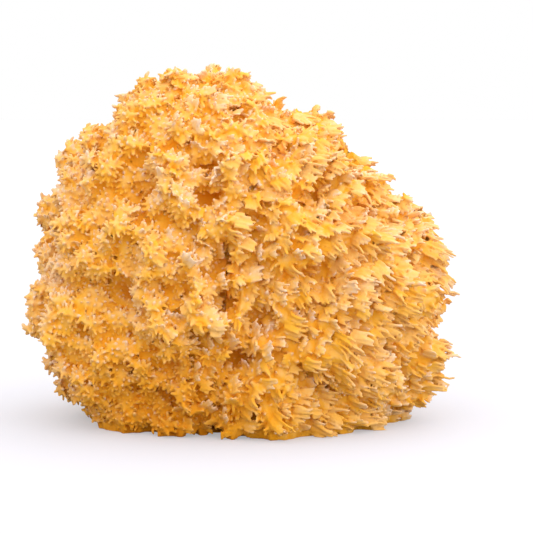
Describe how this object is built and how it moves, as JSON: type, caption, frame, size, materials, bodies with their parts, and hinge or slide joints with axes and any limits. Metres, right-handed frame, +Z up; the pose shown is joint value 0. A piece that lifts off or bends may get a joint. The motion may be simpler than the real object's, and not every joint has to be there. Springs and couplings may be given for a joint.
{
  "type": "sea sponge",
  "caption": "Rounded natural bath sponge with a tufted, porous skin, standing on its flat cut base.",
  "frame": {"origin": "middle of the outer box, on the surface that the cut base stands on", "axes": "+X to the right along the longest side, +Y away from the front along the shortest side, +Z up from the cut base"},
  "size_m": [0.14, 0.11, 0.116],
  "materials": {
    "sponge_fibre": "matt, soft, warm yellow sponge fibre"
  },
  "bodies": {
    "root": {"sponge": "sponge_fibre"}
  },
  "joints": []
}
